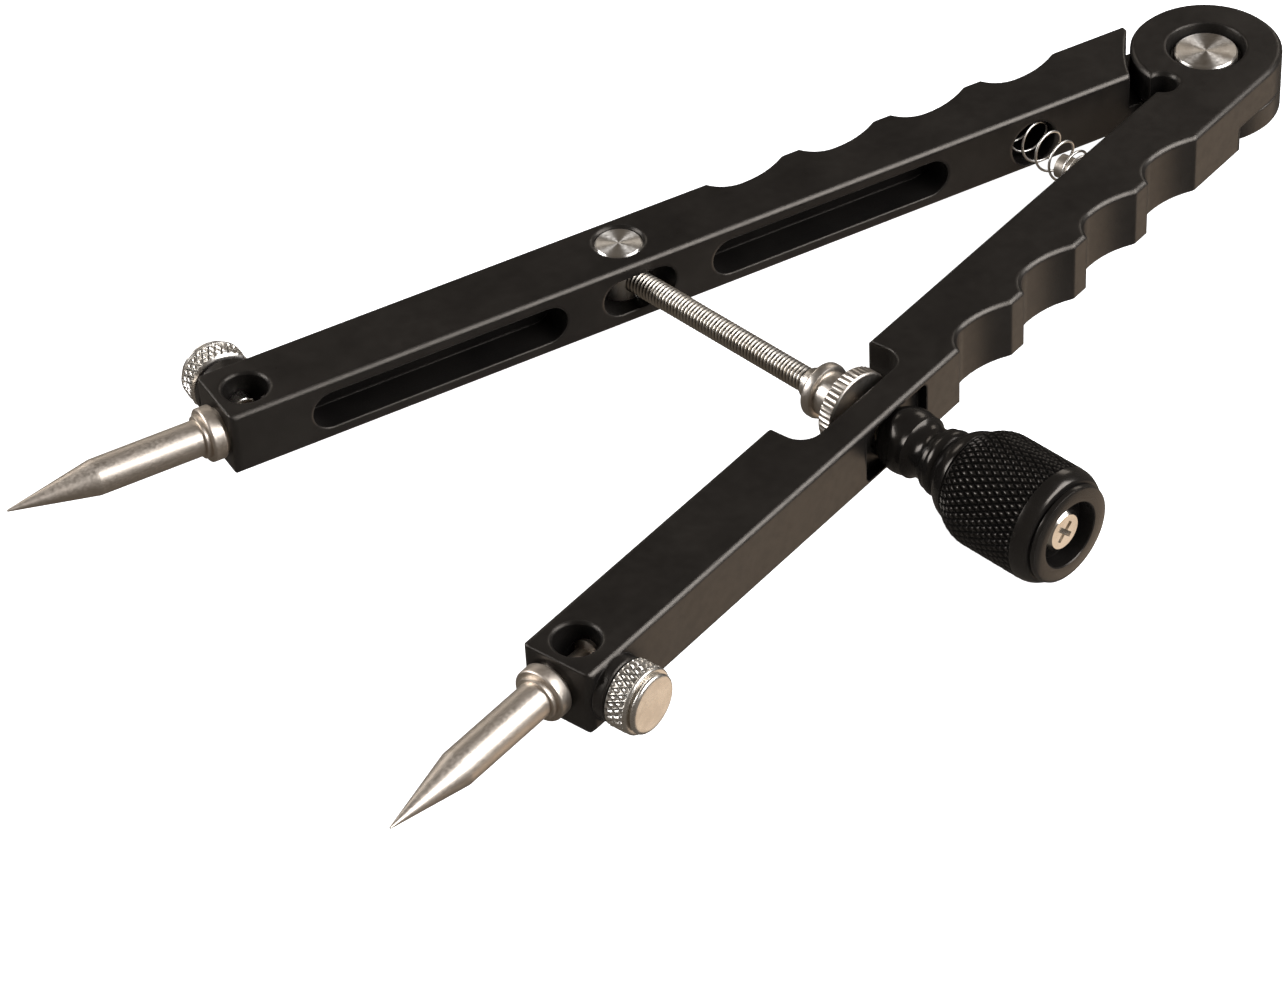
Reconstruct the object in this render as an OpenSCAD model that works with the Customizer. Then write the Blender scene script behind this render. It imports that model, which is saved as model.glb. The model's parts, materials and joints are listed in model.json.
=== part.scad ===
// Screw-adjusted two-point drawing compass. Millimetres, +Z up.
// Origin: on the pivot axis, in the flat underside of the arms.
// +X runs from the pivot towards the points, halfway between the two arms.
// The nut arm lies on the -Y side and the knob arm on the +Y side.

/* [Arms] */
// Angle between the two arms
opening = 22.3; // [20:0.1:24]
// Pivot axis to the arm's end face
arm_l = 128.5; // [127:0.5:140]
// Arm width, also the radius of the pivot eye
arm_w = 9; // [9:0.1:10]
// Arm height
arm_h = 8; // [8:0.1:9]
// Edge chamfer
edge = 0.4; // [0.2:0.05:0.5]
// Depth of the finger scallops
scallop_depth = 1.95; // [1:0.05:2]

/* [Adjuster] */
// Major diameter of the adjusting thread
rod_d = 2.95; // [2.5:0.05:3]
// Distance from the pivot to the barrel nut, along the arm
nut_s = 77.3; // [76.5:0.1:78]
// Largest diameter of the adjusting knob
knob_d = 13.5; // [13:0.1:14]

/* [Points] */
// Pivot axis to the end of a point
point_reach = 154; // [150:0.1:160]
// Diameter of a point
point_d = 4.2; // [3.8:0.1:4.4]

/* [Hidden] */
$fn = 64;
eps = 0.01;
far = 400;
half = opening / 2;
mid_z = arm_h / 2;

// pivot
lap_z = 3.4;
lap_gap = 0.2;
eye_gap = 2;
eye_cut_r = arm_w + eye_gap;
lap_end_r = 25;
lap_end_gap = 0.6;
lap_end_turn = 36.4;
lap_end_at = (arm_w + lap_end_gap - lap_end_r) * [cos(lap_end_turn), sin(lap_end_turn)];
lap_corner_r = 0.9;
lap_corner_t = arm_w - lap_corner_r;
lap_corner_s = lap_end_at[0] + sqrt(pow(lap_end_r + lap_corner_r, 2) - pow(lap_corner_t - lap_end_at[1], 2));
lap_tangent_t = lap_end_at[1] + (lap_corner_t - lap_end_at[1]) * lap_end_r / (lap_end_r + lap_corner_r);
post_r = 2.5;
post_foot_r = 1.75;
head_r = 3.75;
head_h = 0.95;
head_sink = 0.6;
head_recess_r = 4.2;
head_recess_mouth = 4.8;
head_recess_h = head_sink + head_h;
pivot_nut_r = 3.75;
pivot_nut_h = 1.3;
pivot_nut_skin = 0.6;
spanner_hole_r = 0.5;
spanner_hole_x = 2.4;
washer_r = 6;
run = 0.05;
relief_r = 1.75;
relief_at = [9, -0.3];

// finger scallops, along the arm
scallop_first = 22.6;
scallop_pitch = 12.45;
scallop_count = 4;
scallop_long = 6.7;
scallop_short = 3.4;

// round bosses on the outer faces, under the thumb screws
boss_r = 3.7;
boss_h = 1.3;

// slots in the inner face
slot_h = 4.8;
slot_depth = 4;
tip_slot = [86.7, 118.8];
grip_slot = [36.1, 67.8];
screw_slot = [nut_s - 4.75, nut_s + 4.75];

// barrel nut
nut_t = 4.8;
barrel_r = 2.75;
barrel_sink = 0.2;
barrel_floor = 0.8;
barrel_mouth = 0.35;

// knob seat on the knob arm
seat_s = 75.25;
seat_out = 1.8;
seat_t = arm_w + seat_out;
nose_r = 3.85;
seat_clear = 0.3;
recess_s = [67.9, 86.4];
recess_depth = 5.15;
recess_r = 2.6;
pocket_s = [69.6, 80.8];
pocket_h = 6.6;
pocket_depth = 1.2;
pocket_r = 0.8;
web_slot_s = [72.2, 77.9];
web_slot_h = rod_d + 0.9;

// adjusting screw, measured from the centre of the knob's ball nose
screw_z = mid_z - 0.25;
barrel_at = in_arm(-half, nut_s, -nut_t);
seat_at = in_arm(half, seat_s, seat_t);
screw_gap = norm(seat_at - barrel_at);
screw_lean = atan2(barrel_at[0] - seat_at[0], seat_at[1] - barrel_at[1]);
rod_r = rod_d / 2;
rod_past = 4.6;
rod_run = 0.03;
stem_r = 2.3;
stem_z = [4, 19];
nose_flat = -2.6;
ring_r = 2.6;
knob_r = knob_d / 2;
knob_end = 23.1;
knob_recess_r = 3.85;
knob_recess_z = 21;
screw_head_r = 2.45;
screw_head_h = 1.3;
screw_shank_r = 1.2;
screw_shank_z = 14.5;
cross_w = 0.6;
cross_l = 2.6;
cross_depth = 0.7;

// spring between the arms
spring_s = 24.3;
spring_z = mid_z - 0.5;
spring_r = 2.45;
spring_wire = 0.32;
spring_turns = 5.5;
spring_bore_r = 3;
spring_bore_depth = 5.2;
guide_r = 1.45;
guide_h = 4.2;
guide_flange_r = 3.1;
guide_flange_h = 1.2;
spring_end_gap = 0.55;
guide_shank_r = 1.4;
guide_shank_h = 4;
guide_dimple_r = 0.65;

// clamped points and their thumb screws
point_t = 3.65;
sight_t = 4.2;
clamp_s = arm_l - 3.8;
clamp_hole_r = 2.55;
clamp_mouth = 0.3;
shank_r = 1.8;
shank_end = clamp_s - 6;
neck_r = 1.15;
neck_l = 4.2;
flange_neck_r = 2.6;
flange_z = [0.45, 2.05];
flange_r = 3.15;
collar_r = 2.5;
collar_end = 2.6;
cone_l = 10.3;
point_end_r = 0.12;
thumb_r = 3.85;
thumb_l = 2.9;
thumb_gap = 0.1;
thumb_backed_off = 0.4;
thumb_groove_l = 0.25;
thumb_groove_r = 3;
thumb_end_r = 3.4;
thumb_end_l = 0.55;
thumb_shank_r = 1.5;
thumb_dog_gap = 0.05;

// Row position of a place s along and t across an arm that is turned by an angle.
function in_arm(turn, s, t) = [s * cos(turn) - t * sin(turn), s * sin(turn) + t * cos(turn)];

// ---- placing ----
// Children are drawn with the arm along +X, its inner face at y = 0 and its outer face at y = arm_w.
module on_knob_arm() {
    rotate([0, 0, half]) children();
}

module on_nut_arm() {
    mirror([0, 1, 0]) on_knob_arm() children();
}

// Children are drawn along +Z, with z = 0 at s along the arm and t across it, pointing outwards.
module across_arm(s, t, z = mid_z) {
    translate([s, t, z]) rotate([-90, 0, 0]) children();
}

// Children are drawn along +Z from the ball nose's centre, with +Z towards the knob.
module on_screw() {
    translate([seat_at[0], seat_at[1], screw_z]) rotate([0, 0, screw_lean]) rotate([-90, 0, 0]) children();
}

// Children are drawn along +Z from the arm's end face, on the point's axis.
module on_point() {
    translate([arm_l, point_t, mid_z]) rotate([0, 90, 0]) children();
}

// ---- shared shapes ----
// A disc between two heights with chamfers on the chosen edges.
module chamfered_disc(r, z0, z1, low, high) {
    rotate_extrude()
        polygon([[0, z0], [r - low, z0], [r, z0 + low], [r, z1 - high], [r - high, z1], [0, z1]]);
}

// A vertical cutter through the arm's height that also chamfers both rims.
module rimmed_cut(r) {
    translate([0, 0, -eps]) cylinder(h = arm_h + 2 * eps, r = r);
    for (up = [0, 1])
        translate([0, 0, up * arm_h]) mirror([0, 0, up])
            translate([0, 0, -eps]) cylinder(h = edge, r1 = r + edge, r2 = r);
}

// A round-ended slot cut into a side face, from depth y0 to y1.
module side_slot(s, h, y0, y1) {
    r = h / 2;
    for (x = [s[0] + r, s[1] - r])
        translate([x, y0, mid_z]) rotate([-90, 0, 0]) cylinder(h = y1 - y0, r = r);
    translate([s[0] + r, y0, mid_z - r]) cube([s[1] - s[0] - h, y1 - y0, h]);
}

// A rectangle with rounded corners.
module rounded_rect(w, h, r) {
    for (x = [r, w - r])
        for (y = [r, h - r])
            translate([x, y]) circle(r = r);
    translate([r, 0]) square([w - 2 * r, h]);
    translate([0, r]) square([w, h - 2 * r]);
}

// ---- arms ----
// The straight bar with chamfered long edges and rounded end corners.
module bar() {
    end_r = 0.8;
    intersection() {
        rotate([90, 0, 90]) linear_extrude(arm_l)
            polygon([[edge, 0], [arm_w - edge, 0], [arm_w, edge], [arm_w, arm_h - edge],
                     [arm_w - edge, arm_h], [edge, arm_h], [0, arm_h - edge], [0, edge]]);
        translate([-arm_l, 0, 0]) linear_extrude(arm_h) rounded_rect(2 * arm_l, arm_w, end_r);
    }
}

// One finger scallop: a long easy curve on the pivot side and a short steep one on the tip side.
module scallop() {
    for (side = [[-1, scallop_long], [1, scallop_short]]) {
        reach = side[1];
        r = (reach * reach + scallop_depth * scallop_depth) / (2 * scallop_depth);
        intersection() {
            translate([0, arm_w - scallop_depth + r, 0]) rimmed_cut(r);
            translate([min(0, side[0] * far), 0, -1]) cube([far, far, arm_h + 2]);
        }
    }
}

module arm_body() {
    difference() {
        union() {
            bar();
            across_arm(clamp_s, arm_w - eps) chamfered_disc(boss_r, 0, boss_h + eps, 0, 0.15);
        }
        for (i = [0 : scallop_count - 1])
            translate([scallop_first + i * scallop_pitch, 0, 0]) scallop();
        side_slot(tip_slot, slot_h, -eps, slot_depth);
        side_slot(grip_slot, slot_h, -eps, slot_depth);
        clamp_cuts();
    }
}

// The sight hole, the point's bore and the thumb screw's hole at the arm's end.
module clamp_cuts() {
    translate([clamp_s, sight_t, -eps]) cylinder(h = arm_h + 2 * eps, r = clamp_hole_r);
    for (up = [0, 1])
        translate([clamp_s, sight_t, up * arm_h]) mirror([0, 0, up])
            translate([0, 0, -eps])
                cylinder(h = clamp_mouth, r1 = clamp_hole_r + clamp_mouth, r2 = clamp_hole_r);
    translate([shank_end - 0.5, point_t, mid_z]) rotate([0, 90, 0]) cylinder(h = far, r = shank_r);
    across_arm(clamp_s, point_t) cylinder(h = arm_w + boss_h, r = thumb_shank_r + run);
}

module nut_arm() {
    color([0.09, 0.085, 0.08]) on_nut_arm() difference() {
        union() {
            difference() {
                arm_body();
                translate([0, 0, lap_z]) linear_extrude(arm_h) lap_end();
            }
            chamfered_disc(arm_w, 0, lap_z, edge, 0);
        }
        translate([0, 0, -eps]) cylinder(h = arm_h, r = post_foot_r);
        translate([0, 0, -eps]) cylinder(h = pivot_nut_h + eps, r = pivot_nut_r);
        side_slot(screw_slot, slot_h, -eps, arm_w + eps);
        barrel_hole();
        across_arm(spring_s, -eps, spring_z) cylinder(h = spring_bore_depth, r = spring_bore_r);
    }
}

// What is cut from the nut arm's upper half: a wide shallow curve past the eye, with the outer corner rounded.
module lap_end() {
    translate(lap_end_at) circle(r = lap_end_r, $fn = 200);
    difference() {
        translate([lap_corner_s - 5 * lap_corner_r, lap_tangent_t])
            square([5 * lap_corner_r, 3 * lap_corner_r]);
        translate([lap_corner_s, lap_corner_t]) circle(r = lap_corner_r);
    }
}

module barrel_hole() {
    hole_r = barrel_r + run;
    translate([nut_s, nut_t, barrel_floor]) cylinder(h = arm_h, r = hole_r);
    translate([nut_s, nut_t, arm_h - barrel_mouth])
        cylinder(h = barrel_mouth + eps, r1 = hole_r, r2 = hole_r + barrel_mouth);
}

module knob_arm() {
    lap_bottom = lap_z + lap_gap;
    color([0.09, 0.085, 0.08]) on_knob_arm() difference() {
        union() {
            difference() {
                arm_body();
                translate([0, 0, -eps]) cylinder(h = lap_bottom + eps, r = eye_cut_r);
            }
            chamfered_disc(arm_w, lap_bottom, arm_h, 0, edge);
        }
        translate([0, 0, -eps]) cylinder(h = arm_h + 1, r = post_r + run);
        translate([0, 0, arm_h - head_recess_h])
            cylinder(h = head_recess_h + eps, r1 = head_recess_r, r2 = head_recess_mouth);
        translate([relief_at[0], relief_at[1], 0]) rimmed_cut(relief_r);
        translate([recess_s[0], -recess_r, -eps]) linear_extrude(arm_h + 1)
            rounded_rect(recess_s[1] - recess_s[0], recess_depth + recess_r, recess_r);
        side_slot(web_slot_s, web_slot_h, 0, arm_w);
        knob_pocket();
        across_arm(spring_s, -eps, spring_z) cylinder(h = guide_shank_h + eps, r = guide_shank_r);
    }
}

// The pocket in the outer face that holds the knob's ball nose.
module knob_pocket() {
    translate([seat_s, seat_t, screw_z]) sphere(r = nose_r + seat_clear);
    translate([pocket_s[0], arm_w - pocket_depth, mid_z + pocket_h / 2]) rotate([-90, 0, 0])
        linear_extrude(pocket_depth + 1)
            rounded_rect(pocket_s[1] - pocket_s[0], pocket_h, pocket_r);
}

// ---- pivot ----
module pivot_post() {
    top = arm_h - head_sink;
    foot = pivot_nut_skin;
    color([0.72, 0.7, 0.67]) rotate_extrude()
        polygon([[0, foot], [post_foot_r, foot], [post_foot_r, lap_z], [post_r, lap_z],
                 [post_r, top - head_h], [head_r, top - head_h], [head_r, top - 0.2],
                 [head_r - 0.2, top], [0, top]]);
}

module pivot_nut() {
    color([0.3, 0.29, 0.28]) difference() {
        cylinder(h = pivot_nut_h, r = pivot_nut_r);
        translate([0, 0, pivot_nut_skin]) cylinder(h = arm_h, r = post_foot_r);
        for (x = [-spanner_hole_x, spanner_hole_x])
            translate([x, 0, -eps]) cylinder(h = pivot_nut_skin, r = spanner_hole_r);
    }
}

module pivot_washer() {
    color([0.55, 0.53, 0.5]) translate([0, 0, lap_z]) difference() {
        cylinder(h = lap_gap - run, r = washer_r);
        translate([0, 0, -eps]) cylinder(h = 1, r = post_r);
    }
}

// ---- spring ----
// The coil's cross-section at one height is an arc, so a twisted extrusion of it is a helix.
module return_spring() {
    start = in_arm(-half, spring_s, spring_end_gap - spring_bore_depth);
    stop = in_arm(half, spring_s, -guide_flange_h - spring_end_gap);
    length = norm(stop - start);
    lean = atan2(start[0] - stop[0], stop[1] - start[1]);
    arc = 360 * spring_wire * spring_turns / length;
    steps = 5;
    color([0.75, 0.72, 0.66]) translate([start[0], start[1], spring_z]) rotate([0, 0, lean])
        rotate([-90, 0, 0])
            linear_extrude(length, twist = -360 * spring_turns, slices = 24 * spring_turns, $fn = 12)
                polygon(concat(
                    [for (i = [0 : steps]) arc_point(spring_r, i * arc / steps)],
                    [for (i = [steps : -1 : 0]) arc_point(spring_r - spring_wire, i * arc / steps)]));
}

function arc_point(r, a) = [r * cos(a), r * sin(a)];

module spring_guide() {
    color([0.75, 0.72, 0.66]) on_knob_arm() across_arm(spring_s, 0, spring_z) rotate([180, 0, 0])
        difference() {
            union() {
                translate([0, 0, -guide_shank_h]) cylinder(h = guide_shank_h + eps, r = guide_shank_r);
                cylinder(h = guide_flange_h, r1 = guide_flange_r, r2 = guide_r + 0.3);
                cylinder(h = guide_h, r = guide_r);
            }
            translate([0, 0, guide_h - guide_dimple_r]) cylinder(h = 1, r = guide_dimple_r);
        }
}

// ---- adjuster ----
module barrel_nut() {
    color([0.78, 0.76, 0.72]) difference() {
        translate([barrel_at[0], barrel_at[1], 0])
            chamfered_disc(barrel_r, barrel_floor + run, arm_h - barrel_sink, 0.2, 0.2);
        on_screw() translate([0, 0, -screw_gap - arm_w]) cylinder(h = 2 * arm_w, r = rod_r + rod_run);
    }
}

// A spherical washer between the knob's nose and its seat, which does not turn with the knob.
module seat_ring() {
    color([0.7, 0.68, 0.65]) on_screw() rotate_extrude() intersection() {
        circle(r = nose_r);
        translate([rod_r + rod_run, -nose_r]) square([ring_r - rod_r - rod_run, nose_r + nose_flat]);
    }
}

module threaded_rod() {
    color([0.66, 0.62, 0.56]) on_screw() difference() {
        union() {
            chamfered_disc(rod_r, -screw_gap - rod_past, stem_z[0] + eps, 0.3, 0);
            translate([0, 0, stem_z[0]]) cylinder(h = stem_z[1] - stem_z[0], r = stem_r);
        }
        translate([0, 0, screw_shank_z]) cylinder(h = far, r = screw_shank_r);
    }
}

module adjusting_knob() {
    rim_r = knob_r - 1;
    rim = 0.25;
    color([0.12, 0.11, 0.1]) on_screw() difference() {
        rotate_extrude() {
            intersection() {
                circle(r = nose_r);
                translate([0, nose_flat]) square([nose_r, nose_r]);
            }
            difference() {
                square([3.7, 5.6]);
                translate([5.05, 3.15]) circle(r = 1.95);
            }
            translate([2.85, 5.65]) circle(r = 1.1);
            polygon([[0, 5.6], [3.6, 6.4], [4.2, 6.9], [4.9, 7.7], [5.3, 8.5], [5.45, 9.1],
                     [5.25, 9.3], [5.25, 9.5], [5.8, 9.6], [6.25, 10.2], [knob_r - 0.2, 11.2],
                     [knob_r, 12.4], [knob_r, 20.3], [knob_r - 0.2, 21.3], [knob_r - 0.7, 22.1],
                     [knob_r - 1.3, 22.2], [knob_r - 1.3, 22.4], [rim_r, 22.5],
                     [rim_r, knob_end - rim], [rim_r - rim, knob_end], [0, knob_end]]);
        }
        translate([0, 0, -nose_r]) cylinder(h = far, r = rod_r);
        translate([0, 0, stem_z[0]]) cylinder(h = stem_z[1] - stem_z[0], r = stem_r);
        translate([0, 0, knob_recess_z]) cylinder(h = far, r = knob_recess_r);
    }
}

module knob_screw() {
    head_top = knob_recess_z + screw_head_h;
    color([0.82, 0.8, 0.76]) on_screw() difference() {
        union() {
            chamfered_disc(screw_head_r, knob_recess_z, head_top, 0, 0.4);
            translate([0, 0, screw_shank_z])
                cylinder(h = knob_recess_z - screw_shank_z + eps, r = screw_shank_r);
        }
        for (a = [45, 135])
            rotate([0, 0, a]) translate([-cross_l / 2, -cross_w / 2, head_top - cross_depth])
                cube([cross_l, cross_w, 1]);
    }
}

module lock_nut() {
    color([0.8, 0.78, 0.75]) on_screw() difference() {
        union() {
            chamfered_disc(1.85, -15.1, -13.5, 0.15, 0);
            chamfered_disc(3.3, -13.6, -12.2, 0.5, 0.4);
            translate([0, 0, -12.3]) cylinder(h = 2.8, r = 2.6);
            chamfered_disc(4.7, -9.55, -7.55, 0.3, 0.3);
        }
        translate([0, 0, -20]) cylinder(h = 20, r = rod_r + rod_run);
    }
}

// ---- points ----
module point() {
    body_end = point_reach - arm_l;
    neck_z = clamp_s - arm_l;
    color([0.72, 0.68, 0.62]) on_point() rotate_extrude()
        polygon([[0, shank_end - arm_l], [shank_r, shank_end - arm_l],
                 [shank_r, neck_z - neck_l / 2], [neck_r, neck_z - neck_l / 2 + 0.4],
                 [neck_r, neck_z + neck_l / 2 - 0.4], [shank_r, neck_z + neck_l / 2],
                 [shank_r, 0], [flange_neck_r, 0], [flange_neck_r, flange_z[0]],
                 [flange_r - 0.2, flange_z[0]], [flange_r, flange_z[0] + 0.2],
                 [flange_r, flange_z[1] - 0.4], [flange_r - 0.4, flange_z[1]],
                 [collar_r, flange_z[1]], [collar_r, collar_end], [point_d / 2, collar_end],
                 [point_d / 2, body_end - cone_l], [point_end_r, body_end], [0, body_end]]);
}

// ---- thumb screws ----
module thumb_screw(out) {
    base = arm_w - point_t + boss_h + thumb_gap + out;
    color([0.8, 0.78, 0.75]) across_arm(clamp_s, point_t) {
        translate([0, 0, neck_r + thumb_dog_gap + out])
            cylinder(h = base - neck_r - thumb_dog_gap - out + eps, r = thumb_shank_r);
        chamfered_disc(thumb_r, base, base + thumb_l, 0.35, 0.35);
        translate([0, 0, base + thumb_l - eps])
            cylinder(h = thumb_groove_l + 2 * eps, r = thumb_groove_r);
        chamfered_disc(thumb_end_r, base + thumb_l + thumb_groove_l,
                       base + thumb_l + thumb_groove_l + thumb_end_l, 0.15, 0.25);
    }
}

nut_arm();
knob_arm();
pivot_post();
pivot_nut();
pivot_washer();
return_spring();
spring_guide();
barrel_nut();
seat_ring();
threaded_rod();
adjusting_knob();
knob_screw();
lock_nut();
on_nut_arm() point();  // nut_arm_point
on_knob_arm() point();  // knob_arm_point
on_nut_arm() thumb_screw(thumb_backed_off);  // nut_arm_thumb_screw
on_knob_arm() thumb_screw(0);  // knob_arm_thumb_screw
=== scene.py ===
import bmesh
import bpy
import json
import math
from collections import namedtuple
from mathutils import Matrix, Vector


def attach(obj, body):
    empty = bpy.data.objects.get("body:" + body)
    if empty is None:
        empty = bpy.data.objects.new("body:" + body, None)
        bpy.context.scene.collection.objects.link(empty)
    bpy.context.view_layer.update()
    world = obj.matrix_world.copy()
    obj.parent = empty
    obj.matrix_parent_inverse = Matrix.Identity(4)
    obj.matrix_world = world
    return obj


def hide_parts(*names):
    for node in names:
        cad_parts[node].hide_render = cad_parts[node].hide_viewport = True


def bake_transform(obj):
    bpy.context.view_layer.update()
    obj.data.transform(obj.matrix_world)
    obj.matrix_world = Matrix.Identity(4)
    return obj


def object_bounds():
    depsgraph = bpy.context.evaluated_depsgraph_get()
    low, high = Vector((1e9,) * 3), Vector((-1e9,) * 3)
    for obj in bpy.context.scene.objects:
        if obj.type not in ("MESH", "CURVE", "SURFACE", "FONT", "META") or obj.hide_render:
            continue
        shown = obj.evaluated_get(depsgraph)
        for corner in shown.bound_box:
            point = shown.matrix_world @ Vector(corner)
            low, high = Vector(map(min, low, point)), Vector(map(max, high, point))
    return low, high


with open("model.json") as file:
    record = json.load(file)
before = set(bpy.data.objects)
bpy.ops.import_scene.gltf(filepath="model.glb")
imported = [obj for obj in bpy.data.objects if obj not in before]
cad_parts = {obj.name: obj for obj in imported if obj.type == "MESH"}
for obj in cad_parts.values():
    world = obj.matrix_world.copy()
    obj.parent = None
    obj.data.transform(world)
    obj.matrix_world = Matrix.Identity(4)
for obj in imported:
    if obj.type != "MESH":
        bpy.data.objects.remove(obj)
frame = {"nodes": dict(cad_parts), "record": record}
cad_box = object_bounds()
JOINTS = {joint["name"]: joint for joint in frame["record"]["behaviour"]["joints"]}

MM = 0.001
MICROMETRE = 1e-6
MM_PER_METRE = 1000
TURN = 2 * math.pi
UP = Vector((0, 0, 1))

# ---- the tool's main measures, as in the CAD, in mm ----
HALF_OPENING = math.radians(22.3 / 2)
ARM_L = 128.5
MID_Z = 4.0

ROD_R = 1.475
ROD_PAST_NUT = 4.6
ROD_END = 4.0
THREAD_PITCH = 0.5
THREAD_DEPTH = 0.27
ROD_CHAMFER = 0.6 * THREAD_PITCH

KNOB_R = 6.75
KNOB_NOSE_R = 3.85
KNOB_KNURL = (9.6, 20.3)
KNOB_KNURL_DEPTH = 0.24
KNOB_FLUTES = 48

LOCK_NUT_TEETH = 42
LOCK_NUT_RIM_R = 4.66
LOCK_NUT_TOOTH_DEPTH = 0.2
LOCK_NUT_BEAD_R = 0.45

POINT_T = 3.65
POINT_R = 2.1
POINT_SHANK_R = 1.8
POINT_NECK_R = 1.15
POINT_FLANGE_R = 3.15
POINT_COLLAR_R = 2.5
POINT_COLUMNS = 96

THUMB_R = 3.85
THUMB_BASE = 6.75
THUMB_BACKED_OFF = 0.4
THUMB_SHANK_R = 1.5
THUMB_KNURL_DEPTH = 0.32
THUMB_FLUTES = 28

SPRING_S = 24.3
SPRING_Z = 3.5
SPRING_START_T = -5.0
SPRING_STOP_T = -1.4
SPRING_R = 2.29
SPRING_WIRE_R = 0.16
SPRING_TURNS = 7.0

# A knurl: columns of the mesh in each flute, and the length of a diamond along the axis.
STEPS = 8
DIAMOND_LEAD = 1.6


def joint_point(name):
    return Vector(JOINTS[name]["pos_m"])


def joint_axis(name):
    return Vector(JOINTS[name]["axis"]).normalized()


def in_arm(side, s, t, z):
    """A place s along and t across an arm; side is -1 for the nut arm and 1 for the knob arm."""
    turn = side * HALF_OPENING
    return Vector((
        s * math.cos(turn) - t * math.sin(turn),
        s * math.sin(turn) + t * math.cos(turn),
        z,
    )) * MM


def frame_along(origin, direction):
    """A local frame at origin with +Z along a level direction."""
    z = Vector(direction).normalized()
    x = UP.cross(z).normalized()
    y = z.cross(x)
    return Matrix.Translation(origin) @ Matrix((x, y, z)).transposed().to_4x4()


# The screw's frame: origin at the centre of the knob's ball nose, +Z towards the knob.
SCREW_AXIS = -joint_axis("knob_turn")
SCREW_FRAME = frame_along(joint_point("knob_turn"), SCREW_AXIS)
NUT_TO_NOSE = (joint_point("nut_swivel") - joint_point("knob_turn")).to_2d().length / MM
ROD_START = -(NUT_TO_NOSE + ROD_PAST_NUT)


# ---- mesh building ----
# One ring of a turned piece: height and radius. A cut ring also has its depth, each column's share of that
# depth, and in a knurl its row.
Ring = namedtuple("Ring", "z r depth cuts row", defaults=(0, None, None))


def make_piece(name, points, faces, place, sharp_deg=32, cuts=None):
    """A mesh object from points in mm, smooth except at edges sharper than sharp_deg."""
    mesh = bpy.data.meshes.new(name)
    mesh.from_pydata([tuple(c * MM for c in p) for p in points], [], faces)
    if cuts:
        mesh.attributes.new("groove", "FLOAT", "POINT").data.foreach_set("value", cuts)
    mesh.update()
    mesh.shade_smooth()
    mesh.set_sharp_from_angle(angle=math.radians(sharp_deg))
    piece = bpy.data.objects.new(name, mesh)
    bpy.context.scene.collection.objects.link(piece)
    piece.matrix_world = place
    return piece


def groove_gap(i, row, hand):
    """Distance of a mesh column from the middle of the nearest groove, 0 on it and 1 between two."""
    return abs(2 * ((i + hand * row) / STEPS % 1) - 1)


def split_cell(a, b, c, d, i, row):
    """Two triangles whose shared edge runs along the nearer knurl groove."""
    if groove_gap(i + 0.5, row + 0.5, 1) < groove_gap(i + 0.5, row + 0.5, -1):
        return [(a, b, d), (b, c, d)]
    return [(a, b, c), (a, c, d)]


def lathe(name, rings, columns, place, closed=False):
    """A piece turned about +Z; its rings go up the outside, and closed joins the last to the first."""
    points, cuts, loops = [], [], []
    for ring in rings:
        count = 1 if ring.r == 0 else columns
        loops.append(range(len(points), len(points) + count))
        for i in range(count):
            cut = ring.cuts[i] if ring.cuts else 0
            radius = ring.r - ring.depth * cut
            angle = TURN * i / columns
            points.append((radius * math.cos(angle), radius * math.sin(angle), ring.z))
            cuts.append(cut)
    pairs = list(zip(loops, loops[1:], rings, rings[1:]))
    if closed:
        pairs.append((loops[-1], loops[0], rings[-1], rings[0]))
    faces = []
    for low, high, below, above in pairs:
        for i in range(columns):
            n = (i + 1) % columns
            if len(low) == 1:
                faces.append((low[0], high[n], high[i]))
            elif len(high) == 1:
                faces.append((low[i], low[n], high[0]))
            elif below.row is not None and above.row is not None:
                faces.extend(split_cell(low[i], low[n], high[n], high[i], i, below.row))
            else:
                faces.append((low[i], low[n], high[n], high[i]))
    return make_piece(name, points, faces, place, cuts=cuts)


def arc_rings(centre_z, centre_r, radius, z0, z1, count, side=1):
    """Rings along a circular arc of the outline; side is 1 where it bulges out and -1 where it curves in."""
    rings = []
    for k in range(count + 1):
        z = z0 + (z1 - z0) * k / count
        rings.append(Ring(z, centre_r + side * math.sqrt(max(radius ** 2 - (z - centre_z) ** 2, 0))))
    return rings


def diamond_knurl(z0, z1, radius_at, flutes, lead, depth, flat=0.62):
    """Rings of a diamond knurl; lead is a diamond's length along the axis, flat the share left at its top."""
    rows = round((z1 - z0) / (lead / STEPS))
    rings = []
    for row in range(rows + 1):
        z = z0 + (z1 - z0) * row / rows
        cuts = []
        for i in range(flutes * STEPS):
            height = min(groove_gap(i, row, 1), groove_gap(i, row, -1), flat) / flat
            cuts.append(1 - height)
        rings.append(Ring(z, radius_at(z), depth, cuts, row))
    return rings


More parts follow.
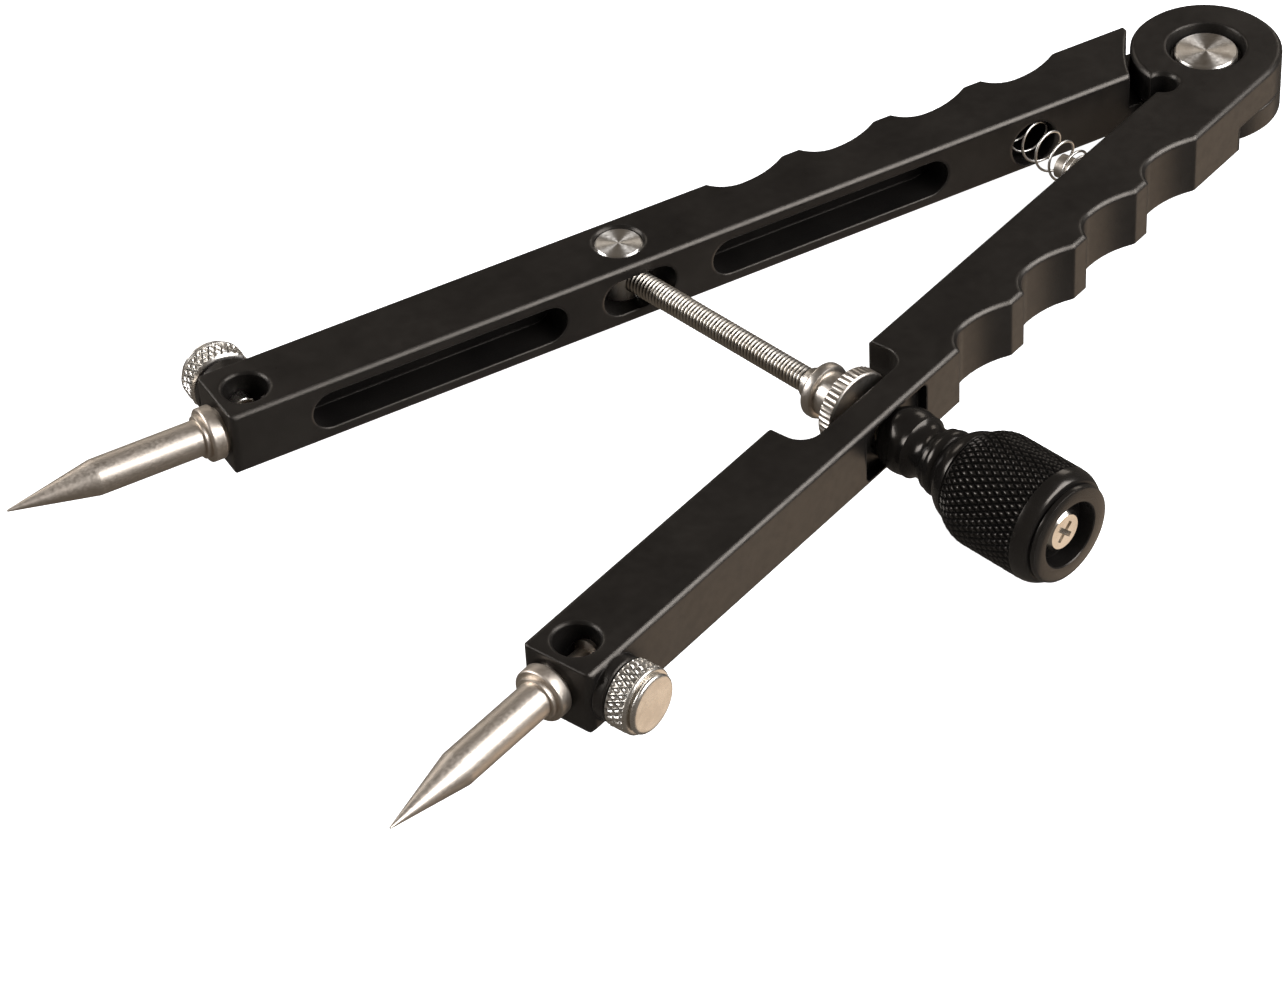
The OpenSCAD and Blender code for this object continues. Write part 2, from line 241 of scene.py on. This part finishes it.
# ---- pieces that replace their CAD nodes ----
def make_knob():
    """The knob: ball nose, neck and dome, a knurled grip with a curved shoulder, and the stepped end."""
    shoulder_length, shoulder_drop = 2.8, 0.95
    groove_r = 3.68

    def shoulder(z):
        rise = max(0, 1 - (z - KNOB_KNURL[0]) / shoulder_length)
        return KNOB_R - shoulder_drop * rise ** 2

    dome = [(6.38, 3.66), (6.62, 3.92), (6.9, 4.2), (7.3, 4.58), (7.7, 4.88), (8.1, 5.12), (8.5, 5.29),
            (8.8, 5.39), (9.05, 5.42), (9.15, 5.36), (9.2, 5.26), (9.5, 5.26), (9.55, 5.7)]
    end = [(20.35, 6.72), (20.7, 6.7), (21.1, 6.62), (21.5, 6.46), (21.8, 6.3), (22.05, 6.1), (22.14, 5.95),
           (22.16, 5.45), (22.42, 5.45), (22.45, 5.7), (22.5, 5.75), (22.85, 5.75), (23.02, 5.68),
           (23.1, 5.52), (23.1, 4.0), (23.0, 3.88), (21.0, 3.8), (21.0, 0)]
    rings = [Ring(-2.6, 0)]
    rings += arc_rings(0, 0, KNOB_NOSE_R, -2.6, 1.03, 22)
    rings += [Ring(1.15, groove_r), Ring(1.65, groove_r)]
    rings += arc_rings(3.15, 5.05, 1.95, 1.76, 4.54, 18, side=-1)
    rings += [Ring(4.65, groove_r), Ring(4.93, groove_r)]
    rings += arc_rings(5.65, 2.85, 1.1, 5.0, 6.3, 10)
    rings += [Ring(*corner) for corner in dome]
    rings += diamond_knurl(*KNOB_KNURL, shoulder, KNOB_FLUTES, DIAMOND_LEAD, KNOB_KNURL_DEPTH)
    rings += [Ring(*corner) for corner in end]
    knob = lathe("knob_body", rings, KNOB_FLUTES * STEPS, SCREW_FRAME)
    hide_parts("adjusting_knob")
    return knob


def make_rod():
    """The rod with its thread as one helical surface, so crests and roots follow the mesh edges."""
    columns = 40
    end_closing = 1.1
    # One pitch of the thread: share of the pitch along the axis, and depth below the crest.
    profile = [(0.0, 0.0), (0.1, 0.0), (0.22, 0.33), (0.34, 0.67), (0.46, 1.0), (0.64, 1.0),
               (0.76, 0.67), (0.88, 0.33)]
    steps = len(profile)
    pitches = math.ceil((ROD_END - ROD_START) / THREAD_PITCH) + 2
    root = ROD_R - THREAD_DEPTH
    points, cuts = [], []
    for k in range(pitches * steps + 1):
        share, deep = profile[k % steps]
        for i in range(columns):
            z = ROD_START + (k // steps + share - 1 + i / columns) * THREAD_PITCH
            radius = ROD_R - THREAD_DEPTH * deep
            past = max(ROD_START - z, z - ROD_END, 0) / THREAD_PITCH
            tip = max(0, 1 - (z - ROD_START) / ROD_CHAMFER)
            radius = min(radius, ROD_R - THREAD_DEPTH * min(tip, 1))
            if past:
                z = min(max(z, ROD_START), ROD_END)
                radius = root * max(0, 1 - end_closing * past)
            angle = TURN * i / columns
            points.append((radius * math.cos(angle), radius * math.sin(angle), z))
            cuts.append(0 if past else deep)
    faces = []
    for k in range(pitches * steps):
        for i in range(columns):
            a = k * columns + i
            d = a + columns
            if i + 1 < columns:
                b, c = a + 1, d + 1
            else:
                b, c = (k + steps) * columns, (k + steps + 1) * columns
            if c < len(points):
                faces.append((a, b, c, d))
    rod = make_piece("screw_thread", points, faces, SCREW_FRAME, sharp_deg=40, cuts=cuts)
    clean_mesh(rod)
    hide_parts("threaded_rod")
    return rod


def clean_mesh(piece):
    """Joins points that lie on each other and drops faces without area."""
    same_place = 1e-7
    mesh = bmesh.new()
    mesh.from_mesh(piece.data)
    bmesh.ops.remove_doubles(mesh, verts=mesh.verts, dist=same_place)
    bmesh.ops.dissolve_degenerate(mesh, edges=mesh.edges, dist=same_place)
    mesh.to_mesh(piece.data)
    mesh.free()


def make_lock_nut():
    """The lock nut: a stepped barrel with a rounded bead, and a disc with straight teeth on its rim."""
    tooth = (0, 0.1, 0.6, 1, 0.6, 0.1)
    columns = LOCK_NUT_TEETH * len(tooth)
    teeth = [tooth[i % len(tooth)] for i in range(columns)]
    clearance = 0.01
    bore = ROD_R + clearance
    outline = [(-15.1, bore), (-15.1, 1.68), (-15.02, 1.8), (-14.9, 1.85), (-13.62, 1.85), (-13.6, 2.55)]
    for degrees in range(0, 91, 10):
        a = math.radians(degrees)
        outline.append((-13.15 - LOCK_NUT_BEAD_R * math.cos(a), 2.85 + LOCK_NUT_BEAD_R * math.sin(a)))
    outline += [(-12.62, 3.3), (-12.35, 3.2), (-12.2, 2.95), (-12.2, 2.6), (-9.57, 2.6), (-9.55, 4.3)]
    rings = [Ring(*corner) for corner in outline]
    rings.append(Ring(-9.45, 4.5))
    rings += [Ring(z, LOCK_NUT_RIM_R, LOCK_NUT_TOOTH_DEPTH, teeth) for z in (-9.28, -7.82)]
    rings += [Ring(-7.8, LOCK_NUT_RIM_R), Ring(-7.68, 4.6), Ring(-7.58, 4.48), Ring(-7.55, 4.35)]
    rings.append(Ring(-7.55, bore))
    nut = lathe("lock_nut_body", rings, columns, SCREW_FRAME, closed=True)
    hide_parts("lock_nut")
    return nut


def make_point(node, name, side):
    """A turned point: shank and clamping neck inside the arm, then flange, collar, body and cone."""
    place = frame_along(in_arm(side, ARM_L, side * POINT_T, MID_Z), in_arm(side, 1, 0, 0))
    shank = [(-9.8, 0), (-9.8, POINT_SHANK_R), (-5.9, POINT_SHANK_R), (-5.5, POINT_NECK_R),
             (-2.1, POINT_NECK_R), (-1.7, POINT_SHANK_R), (0, POINT_SHANK_R), (0, 2.6)]
    flange = [(0.45, 2.6), (0.45, 3.04), (0.48, 3.12), (0.56, POINT_FLANGE_R), (0.66, POINT_FLANGE_R),
              (1.72, POINT_FLANGE_R), (1.82, POINT_FLANGE_R), (1.95, 3.11), (2.03, 3.02), (2.05, 2.9),
              (2.05, POINT_COLLAR_R)]
    collar = [(2.43, POINT_COLLAR_R), (2.5, POINT_COLLAR_R), (2.57, 2.47), (2.6, 2.4), (2.6, POINT_R)]
    body = [(15.0, POINT_R), (15.2, 2.09), (15.4, 2.05), (25.3, 0.16), (25.5, 0.12), (25.5, 0)]
    rings = [Ring(*corner) for corner in shank + flange + collar + body]
    point = lathe(name, rings, POINT_COLUMNS, place)
    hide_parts(node)
    return point


def make_thumb_screw(node, name, backed_off):
    """A thumb screw: shank, diamond-knurled band and a stepped cap; backed_off lifts it out of the arm."""
    joint = node + "_turn"
    place = frame_along(joint_point(joint), joint_axis(joint))
    base = THUMB_BASE + backed_off
    band = (base + 0.32, base + 2.42)
    rings = [Ring(1.2 + backed_off, 0), Ring(1.2 + backed_off, 1.4), Ring(1.3 + backed_off, THUMB_SHANK_R)]
    rings += [Ring(base, THUMB_SHANK_R), Ring(base, 3.4), Ring(base + 0.08, 3.58), Ring(base + 0.25, 3.76)]
    rings += diamond_knurl(*band, lambda z: THUMB_R, THUMB_FLUTES, DIAMOND_LEAD, THUMB_KNURL_DEPTH, flat=0.6)
    outline = [(2.46, 3.7), (2.5, 3.78), (2.58, 3.82), (2.72, 3.8), (2.84, 3.7), (2.9, 3.55), (2.92, 3.0),
               (3.13, 3.0), (3.15, 3.2), (3.2, 3.33), (3.28, 3.39), (3.4, 3.4), (3.5, 3.36), (3.6, 3.26),
               (3.66, 3.12), (3.69, 2.95), (3.7, 2.7), (3.7, 0)]
    rings += [Ring(base + z, r) for z, r in outline]
    screw = lathe(name, rings, THUMB_FLUTES * STEPS, place)
    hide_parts(node)
    return screw


def make_spring():
    """A round-wire coil with closed end turns, from the bore in the nut arm to the guide's flange."""
    start = in_arm(-1, SPRING_S, SPRING_START_T, SPRING_Z)
    stop = in_arm(1, SPRING_S, SPRING_STOP_T, SPRING_Z)
    length = (stop - start).length / MM
    place = frame_along(start, stop - start)
    per_turn, sides, phase = 28, 10, math.radians(200)
    closed_pitch = 2.2 * SPRING_WIRE_R
    open_pitch = (length - 2 * closed_pitch) / (SPRING_TURNS - 2)

    def climb(turns):
        """Height of the wire after this many turns: the first and last turns are closed."""
        middle = min(max(turns - 1, 0), SPRING_TURNS - 2)
        return closed_pitch * (turns - middle) + open_pitch * middle

    points, faces = [], []
    count = round(SPRING_TURNS * per_turn)
    for k in range(count + 1):
        turns = k / per_turn
        angle = phase + TURN * turns
        out = Vector((math.cos(angle), math.sin(angle), 0))
        centre = out * SPRING_R + Vector((0, 0, climb(turns)))
        for j in range(sides):
            round_wire = TURN * j / sides
            offset = out * math.cos(round_wire) + UP * math.sin(round_wire)
            points.append(tuple(centre + offset * SPRING_WIRE_R))
    for k in range(count):
        for j in range(sides):
            a, b = k * sides + j, k * sides + (j + 1) % sides
            faces.append((a, a + sides, b + sides, b))
    faces.append(tuple(range(sides)))
    faces.append(tuple(reversed(range(count * sides, (count + 1) * sides))))
    spring = make_piece("spring_coil", points, faces, place, sharp_deg=60)
    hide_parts("return_spring")
    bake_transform(spring)
    return spring


# ---- material building ----
def add(tree, kind, inputs=None, **settings):
    """Adds a shader node; an input is a value or another node's output socket."""
    node = tree.nodes.new("ShaderNode" + kind)
    for key, value in settings.items():
        setattr(node, key, value)
    for key, value in (inputs or {}).items():
        if isinstance(value, bpy.types.NodeSocket):
            tree.links.new(value, node.inputs[key])
        else:
            node.inputs[key].default_value = value
    return node


def new_material(name, **sockets):
    """A Principled material; every socket named here is constant over the surface."""
    material = bpy.data.materials.new(name)
    material.use_nodes = True
    principled = material.node_tree.nodes["Principled BSDF"]
    for key, value in sockets.items():
        principled.inputs[key.replace("_", " ")].default_value = value
    return material, material.node_tree, principled


def noise(tree, point, size_mm, detail=3.0):
    inputs = {"Vector": point, "Scale": MM_PER_METRE / size_mm, "Detail": detail}
    return add(tree, "TexNoise", inputs).outputs[0]


def remap(tree, value, low, high, to_low, to_high):
    inputs = {"Value": value, "From Min": low, "From Max": high, "To Min": to_low, "To Max": to_high}
    return add(tree, "MapRange", inputs).outputs["Result"]


def blend_colour(tree, share, a, b):
    """Colour a where share is 0 and b where it is 1."""
    # A Mix node has one set of sockets for each data type: these are the colour ones.
    factor_in, a_in, b_in, colour_out = 0, 6, 7, 2
    node = add(tree, "Mix", data_type="RGBA")
    for index, value in ((factor_in, share), (a_in, a), (b_in, b)):
        if isinstance(value, bpy.types.NodeSocket):
            tree.links.new(value, node.inputs[index])
        else:
            node.inputs[index].default_value = value
    return node.outputs[colour_out]


def calculate(tree, operation, a, b):
    return add(tree, "Math", {0: a, 1: b}, operation=operation).outputs[0]


def vector_math(tree, operation, a, b=None):
    inputs = {0: a} if b is None else {0: a, 1: b}
    return add(tree, "VectorMath", inputs, operation=operation)


def rgb(r, g, b):
    return (r, g, b, 1)


STEEL = rgb(0.64, 0.595, 0.54)
STEEL_STAIN = rgb(0.54, 0.49, 0.43)
NICKEL = rgb(0.91, 0.885, 0.84)
NICKEL_STAIN = rgb(0.81, 0.77, 0.71)
POINT_STEEL = rgb(0.74, 0.67, 0.59)
POINT_STAIN = rgb(0.62, 0.55, 0.475)
THREAD_STEEL = rgb(0.68, 0.64, 0.58)
THREAD_STAIN = rgb(0.5, 0.45, 0.38)
GUIDE_STEEL = rgb(0.42, 0.385, 0.34)
GUIDE_STAIN = rgb(0.36, 0.32, 0.27)
DARK_STEEL = rgb(0.2, 0.19, 0.18)
DARK_STAIN = rgb(0.14, 0.13, 0.12)
DEEP_BLACK = rgb(0.0055, 0.005, 0.0047)
SOFT_BLACK = rgb(0.0095, 0.0085, 0.0076)
# Painted shade for the bottoms of knurl cuts on black parts.
PAINTED_GROOVE_SHADE = rgb(0.002, 0.002, 0.002)
BARE_ALUMINIUM = rgb(0.2, 0.185, 0.17)


def edge_mask(tree, radius_mm, low, high):
    """1 on edges, where a rounded normal leaves the true one, and 0 on open faces."""
    rounded = add(tree, "Bevel", {"Radius": radius_mm * MM}, samples=4).outputs["Normal"]
    true = add(tree, "NewGeometry").outputs["True Normal"]
    agree = vector_math(tree, "DOT_PRODUCT", rounded, true).outputs["Value"]
    return remap(tree, agree, high, low, 0, 1)


def axis_marks(tree, origin, direction):
    """Point, axial-plus-radial distance and groove direction for a part turned about an axis."""
    radial_share = 0.7
    point = add(tree, "TexCoord").outputs["Object"]
    offset = vector_math(tree, "SUBTRACT", point, tuple(origin)).outputs["Vector"]
    along = vector_math(tree, "DOT_PRODUCT", offset, tuple(direction)).outputs["Value"]
    groove = vector_math(tree, "CROSS_PRODUCT", tuple(direction), offset).outputs["Vector"]
    radius = vector_math(tree, "LENGTH", groove).outputs["Value"]
    distance = calculate(tree, "ADD", along, calculate(tree, "MULTIPLY", radius, radial_share))
    tangent = add(tree, "VectorTransform", {"Vector": groove}, vector_type="VECTOR",
                  convert_from="OBJECT", convert_to="WORLD").outputs["Vector"]
    return offset, distance, tangent


def turned_metal(name, colour, stain, roughness, marks, aniso, origin=(0, 0, 0), direction=(0, 0, 1),
                 grooves=0.0, ring_mm=0.22):
    """Lathe-turned metal: rings of fine tool marks about an axis, faint stains and brighter edges.
    marks is the depth of the tool marks in micrometres, and grooves how dark the cuts of a knurl, thread or
    teeth are painted: painted shade in the cuts."""
    material, tree, principled = new_material(
        name, Metallic=1.0, Anisotropic=aniso, Anisotropic_Rotation=0.25)
    point, distance, tangent = axis_marks(tree, origin, direction)
    rings = add(tree, "TexNoise", {"W": distance, "Scale": MM_PER_METRE / ring_mm, "Detail": 2.0},
                noise_dimensions="1D").outputs[0]
    patches = noise(tree, point, 2.2)
    specks = noise(tree, point, 0.35)
    worn = edge_mask(tree, 0.12, 0.80, 0.97)
    tone = blend_colour(tree, remap(tree, patches, 0.35, 0.7, 0, 1), colour, stain)
    tone = blend_colour(tree, remap(tree, rings, 0.3, 0.7, 0.0, 0.22), tone, stain)
    bright = rgb(*(min(1, c * 1.15) for c in colour[:3]))
    tone = blend_colour(tree, calculate(tree, "MULTIPLY", worn, 0.6), tone, bright)
    # Painted shade: the cuts of knurls, threads and teeth are darkened toward a dim copy of the colour, by
    # their depth.
    if grooves:
        cut = add(tree, "Attribute", attribute_name="groove").outputs["Fac"]
        groove_shade = remap(tree, cut, 0.35, 1.0, 0, grooves)
        tone = blend_colour(tree, groove_shade, tone, rgb(*(0.12 * c for c in colour[:3])))
    tree.links.new(tone, principled.inputs["Base Color"])
    rough = remap(tree, specks, 0.3, 0.7, roughness * 0.85, roughness * 1.2)
    rough = calculate(tree, "ADD", rough, remap(tree, patches, 0.4, 0.7, 0.0, 0.05))
    tree.links.new(rough, principled.inputs["Roughness"])
    height = calculate(tree, "ADD", rings, calculate(tree, "MULTIPLY", specks, 0.25))
    bump = add(tree, "Bump", {"Height": height, "Strength": 0.5, "Distance": marks * MICROMETRE})
    tree.links.new(bump.outputs["Normal"], principled.inputs["Normal"])
    tree.links.new(tangent, principled.inputs["Tangent"])
    return material


def anodised(name, roughness, wear, grain_um, soft_mm, sheen, grooves=False):
    """Black anodised aluminium: warm sheen, fine blasted grain, faint cloudiness, lighter worn edges.
    Slots and grooves, which the piece itself shades, shine less: their shine is turned down by ambient
    occlusion, and on a knurl also in its cuts, as painted shade."""
    material, tree, principled = new_material(name, Specular_Tint=rgb(1.0, 0.91, 0.81))
    point = add(tree, "TexCoord").outputs["Object"]
    clouds = noise(tree, point, 7.0, detail=4.0)
    grain = noise(tree, point, 0.16, detail=2.0)
    scuffs = noise(tree, point, 1.1, detail=5.0)
    tone = blend_colour(tree, remap(tree, clouds, 0.3, 0.7, 0, 1), DEEP_BLACK, SOFT_BLACK)
    worn = edge_mask(tree, 0.1, 0.86, 0.985)
    worn = calculate(tree, "MULTIPLY", worn, remap(tree, scuffs, 0.35, 0.65, 0.35 * wear, wear))
    tone = blend_colour(tree, worn, tone, BARE_ALUMINIUM)
    # Painted shade: the knurl's cuts are painted nearly black, by their depth.
    if grooves:
        cut = add(tree, "Attribute", attribute_name="groove").outputs["Fac"]
        tone = blend_colour(tree, remap(tree, cut, 0.3, 1.0, 0, 0.85), tone, PAINTED_GROOVE_SHADE)
    tree.links.new(tone, principled.inputs["Base Color"])
    rough = remap(tree, scuffs, 0.3, 0.7, roughness - 0.04, roughness + 0.05)
    rough = calculate(tree, "ADD", rough, remap(tree, clouds, 0.3, 0.7, -0.02, 0.03))
    tree.links.new(rough, principled.inputs["Roughness"])
    height = calculate(tree, "ADD", grain, calculate(tree, "MULTIPLY", scuffs, 0.6))
    soft = add(tree, "Bevel", {"Radius": soft_mm * MM}, samples=8).outputs["Normal"]
    bump = add(tree, "Bump", {"Height": height, "Strength": 0.4, "Distance": grain_um * MICROMETRE,
                              "Normal": soft})
    tree.links.new(bump.outputs["Normal"], principled.inputs["Normal"])
    # Painted shade: the shine is turned down where ambient occlusion finds the piece shading itself, in
    # slots, pockets and knurl cuts.
    open_air = add(tree, "AmbientOcclusion", {"Distance": 6 * MM}, samples=4, only_local=True).outputs["AO"]
    shine = remap(tree, open_air, 0.5, 0.97, 0.02 * sheen, sheen)
    if grooves:
        shine = calculate(tree, "MULTIPLY", shine, remap(tree, cut, 0.0, 0.5, 1.0, 0.35))
    tree.links.new(shine, principled.inputs["Specular IOR Level"])
    return material


def paint(piece, material):
    """Gives every material slot of a piece this material."""
    if not piece.material_slots:
        piece.data.materials.append(material)
    for slot in piece.material_slots:
        slot.material = material


# ---- putting the tool together ----
def finish_carried_nodes():
    """Paints the pieces that keep their CAD shape."""
    nodes = frame["nodes"]
    arms = anodised("black_anodised_arms", roughness=0.33, wear=0.3, grain_um=6, soft_mm=0.5, sheen=0.5)
    paint(nodes["nut_arm"], arms)
    paint(nodes["knob_arm"], arms)
    head = turned_metal("pivot_head_steel", NICKEL, STEEL_STAIN, roughness=0.36, marks=6, aniso=0.9)
    paint(nodes["pivot_post"], head)
    washer = turned_metal("pivot_washer_steel", STEEL, STEEL_STAIN, roughness=0.30, marks=4, aniso=0.5)
    paint(nodes["pivot_washer"], washer)
    nut = turned_metal("pivot_nut_dark_steel", DARK_STEEL, DARK_STAIN, roughness=0.38, marks=6, aniso=0.5)
    paint(nodes["pivot_nut"], nut)
    barrel = turned_metal("barrel_nut_steel", NICKEL, NICKEL_STAIN, roughness=0.36, marks=6, aniso=0.9,
                          origin=joint_point("nut_swivel"))
    paint(nodes["barrel_nut"], barrel)
    seat = turned_metal("seat_ring_steel", STEEL, STEEL_STAIN, roughness=0.28, marks=4, aniso=0.5,
                        origin=joint_point("knob_turn"), direction=SCREW_AXIS)
    paint(nodes["seat_ring"], seat)
    end_screw = turned_metal("knob_screw_nickel", NICKEL, NICKEL_STAIN, roughness=0.16, marks=2, aniso=0.2,
                             origin=joint_point("knob_turn"), direction=SCREW_AXIS)
    paint(nodes["knob_screw"], end_screw)
    guide = turned_metal("spring_guide_steel", GUIDE_STEEL, GUIDE_STAIN, roughness=0.5, marks=3, aniso=0.1,
                         origin=in_arm(1, SPRING_S, 0, SPRING_Z),
                         direction=joint_axis("knob_arm_thumb_screw_turn"))
    paint(nodes["spring_guide"], guide)


def make_pieces():
    """Makes the pieces with fine work, which take the place of their CAD nodes."""
    # grooves sets how dark the cuts of knurls, teeth and the thread are painted, as painted shade.
    knurled_nickel = turned_metal("knurled_nickel", NICKEL, NICKEL_STAIN, roughness=0.27, marks=3, aniso=0.2,
                                  grooves=0.75)
    dull_nickel = turned_metal("lock_nut_nickel", STEEL, STEEL_STAIN, roughness=0.34, marks=1.5, aniso=0.0,
                               grooves=0.75)
    thread = turned_metal("thread_steel", THREAD_STEEL, THREAD_STAIN, roughness=0.3, marks=1, aniso=0.0,
                          grooves=0.85)
    point_steel = turned_metal("point_steel_turned", POINT_STEEL, POINT_STAIN, roughness=0.41, marks=8,
                               aniso=0.0, ring_mm=0.3)
    wire = turned_metal("spring_wire", NICKEL, NICKEL_STAIN, roughness=0.3, marks=2, aniso=0.0)
    # grooves paints the knurl's cuts nearly black and lowers their shine there: painted shade.
    black = anodised("black_anodised_knob", roughness=0.2, wear=0.1, grain_um=1.0, soft_mm=0.04,
                     sheen=0.4, grooves=True)
    plan = [
        (make_knob(), "adjusting_screw", "black_anodised", black),
        (make_rod(), "adjusting_screw", "thread_steel", thread),
        (make_lock_nut(), "lock_nut", "bright_nickel", dull_nickel),
        (make_point("nut_arm_point", "nut_arm_point_body", -1), "nut_arm", "point_steel", point_steel),
        (make_point("knob_arm_point", "knob_arm_point_body", 1), "knob_arm", "point_steel", point_steel),
        (make_thumb_screw("nut_arm_thumb_screw", "nut_arm_thumb_screw_body", THUMB_BACKED_OFF),
         "nut_arm_thumb_screw", "bright_nickel", knurled_nickel),
        (make_thumb_screw("knob_arm_thumb_screw", "knob_arm_thumb_screw_body", 0.0),
         "knob_arm_thumb_screw", "bright_nickel", knurled_nickel),
    ]
    for piece, body, slot, material in plan:
        paint(piece, material)
        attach(piece, body)
    spring = make_spring()
    paint(spring, wire)


# ---- camera, floor and lights ----
# Camera: aimed at a point on the arms' middle plane, looking down on the tool with the knob towards it.
AIM_MM = (99.73, 13.01, MID_Z)
AZIMUTH_DEG = -128.60
ELEVATION_DEG = 40.61
ROLL_DEG = -3.28
DISTANCE_MM = 502.9
LENS_MM = 131.42
SENSOR_MM = 36
CLIP_START = 0.01

# Floor and lights, in metres.
FLOOR_SIZE = 6
FLOOR_X = 0.08
LIGHT_DISTANCE = 0.7
COOL_WHITE = (0.98, 0.98, 1)
WARM_WHITE = (1, 0.93, 0.85)
CARD_ORANGE = (1, 0.77, 0.57)
WORLD_COLOUR = rgb(1, 0.87, 0.74)
WORLD_STRENGTH = 0.115


def bearing(azimuth_deg, elevation_deg):
    """The unit vector that points out at this azimuth and elevation."""
    azimuth, elevation = math.radians(azimuth_deg), math.radians(elevation_deg)
    return Vector((
        math.cos(elevation) * math.cos(azimuth),
        math.cos(elevation) * math.sin(azimuth),
        math.sin(elevation),
    ))


def make_camera():
    forward = bearing(AZIMUTH_DEG, -ELEVATION_DEG)
    roll = math.radians(ROLL_DEG)
    level = forward.cross(UP).normalized()
    upright = level.cross(forward)
    right = math.cos(roll) * level + math.sin(roll) * upright
    up = -math.sin(roll) * level + math.cos(roll) * upright
    data = bpy.data.cameras.new("camera")
    data.lens = LENS_MM
    data.sensor_width = SENSOR_MM
    data.clip_start = CLIP_START
    data.dof.use_dof = False
    camera = bpy.data.objects.new("camera", data)
    bpy.context.scene.collection.objects.link(camera)
    turn = Matrix((right, up, -forward)).transposed()
    place = Vector(AIM_MM) * MM - forward * DISTANCE_MM * MM
    camera.matrix_world = Matrix.Translation(place) @ turn.to_4x4()
    bpy.context.scene.camera = camera


def make_floor():
    """A glowing white floor under the tool; its glow hides the shadows, and it is see-through from below."""
    low = cad_box[0][2]
    bpy.ops.mesh.primitive_plane_add(size=FLOOR_SIZE, location=(FLOOR_X, 0, low))
    floor = bpy.context.object
    floor.name = "floor"
    material, tree, principled = new_material("white_table", Roughness=0.9, Emission_Strength=1.0)
    principled.inputs["Base Color"].default_value = rgb(0.9, 0.9, 0.9)
    principled.inputs["Emission Color"].default_value = rgb(1, 1, 1)
    see_through = add(tree, "BsdfTransparent").outputs["BSDF"]
    underside = add(tree, "NewGeometry").outputs["Backfacing"]
    shown = add(tree, "MixShader", {0: underside, 1: principled.outputs["BSDF"], 2: see_through})
    tree.links.new(shown.outputs["Shader"], tree.nodes["Material Output"].inputs["Surface"])
    floor.data.materials.append(material)
    floor.visible_glossy = False
    floor.visible_shadow = False


def make_softbox(name, azimuth_deg, elevation_deg, width, height, radiance, colour):
    """A rectangular light that faces the tool's middle; radiance is how bright its face is."""
    data = bpy.data.lights.new(name, "AREA")
    data.color = colour
    data.shape = "RECTANGLE"
    data.size = width
    data.size_y = height
    data.energy = radiance * math.pi * width * height
    light = bpy.data.objects.new(name, data)
    light.visible_camera = False
    bpy.context.scene.collection.objects.link(light)
    away = bearing(azimuth_deg, elevation_deg)
    middle = (Vector(cad_box[0]) + Vector(cad_box[1])) / 2
    place = Matrix.Translation(middle + away * LIGHT_DISTANCE)
    light.matrix_world = place @ away.to_track_quat("Z", "Y").to_matrix().to_4x4()


def make_studio():
    """Two big softboxes, two small ones behind the tool, a low warm card and a dim warm world."""
    for name, azimuth, elevation, colour, width, height, radiance in (
        ("right_softbox", 124, 36, COOL_WHITE, 0.66, 0.35, 11),
        ("left_softbox", -43, 30, COOL_WHITE, 0.4, 0.3, 10),
        ("back_left_strip", -98, 28, WARM_WHITE, 0.2, 0.2, 2.4),
        ("back_right_strip", -159, 28, WARM_WHITE, 0.2, 0.2, 2.4),
        ("low_warm_card", 152, -38, CARD_ORANGE, 0.5, 0.4, 0.72),
    ):
        make_softbox(name, azimuth, elevation, width, height, radiance, colour)
    world = bpy.data.worlds.new("studio")
    bpy.context.scene.world = world
    world.use_nodes = True
    background = world.node_tree.nodes["Background"]
    background.inputs["Color"].default_value = WORLD_COLOUR
    background.inputs["Strength"].default_value = WORLD_STRENGTH
    bpy.context.scene.view_settings.view_transform = "Standard"


finish_carried_nodes()
make_pieces()
make_camera()
make_floor()
make_studio()
